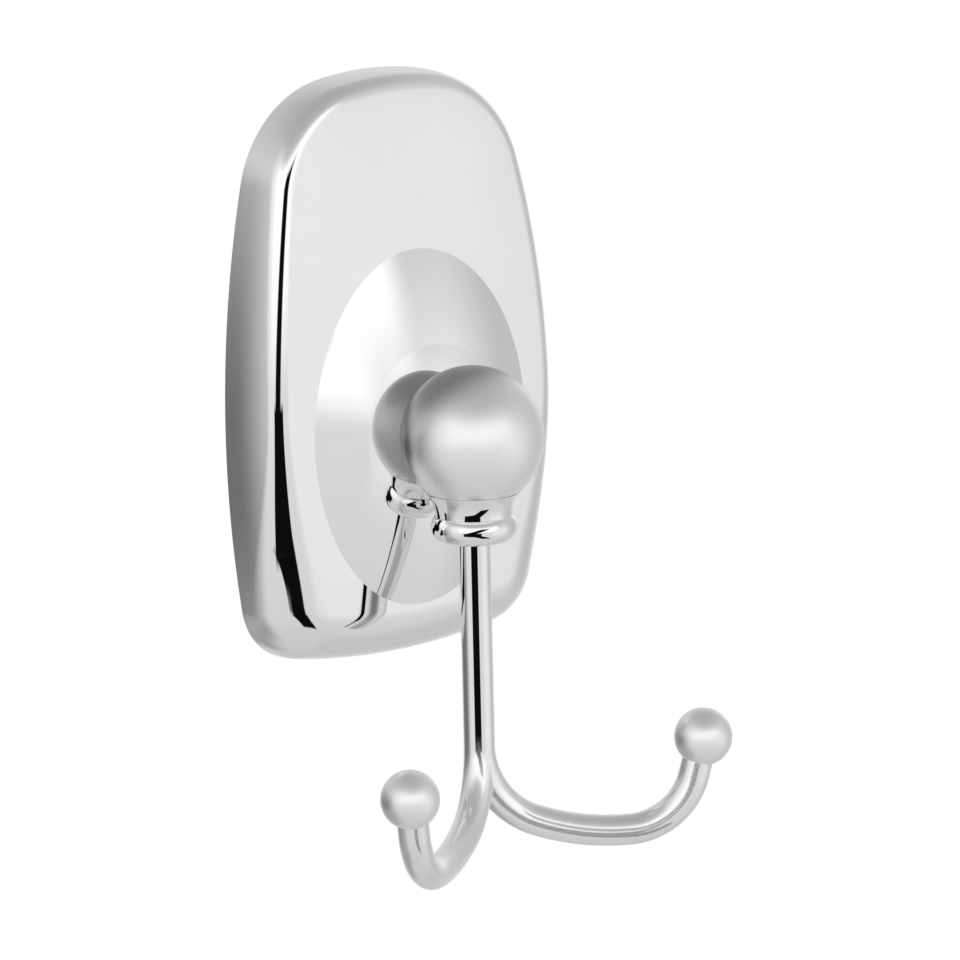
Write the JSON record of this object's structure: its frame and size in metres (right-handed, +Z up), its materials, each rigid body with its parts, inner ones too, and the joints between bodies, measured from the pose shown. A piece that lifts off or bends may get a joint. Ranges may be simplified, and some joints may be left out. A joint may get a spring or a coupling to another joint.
{
  "type": "robe hook",
  "caption": "Wall robe hook: crowned chrome backplate with an oval boss, satin ball hub, turned collar and a drop rod that splits into upturned arms with ball tips.",
  "frame": {"origin": "on the wall, on the axis of the hub ball's screw: the middle of the wall bracket's back face", "axes": "+Y into the wall, so the front faces -Y; +Z up; +X to the right seen from the front"},
  "size_m": [0.0862, 0.0595, 0.152],
  "materials": {
    "polished_chrome": "mirror-polished chrome plate",
    "satin_chrome": "satin, softly blurred chrome plate",
    "zinc_steel": "bright zinc-plated steel"
  },
  "bodies": {
    "root": {"backplate": "polished_chrome", "hub_ball": "satin_chrome", "collar": "polished_chrome", "hook_arms": "polished_chrome", "left_tip_ball": "satin_chrome", "right_tip_ball": "satin_chrome", "wall_bracket": "zinc_steel", "hub_screw": "zinc_steel", "lock_washer": "zinc_steel", "set_screw": "zinc_steel"}
  },
  "joints": []
}
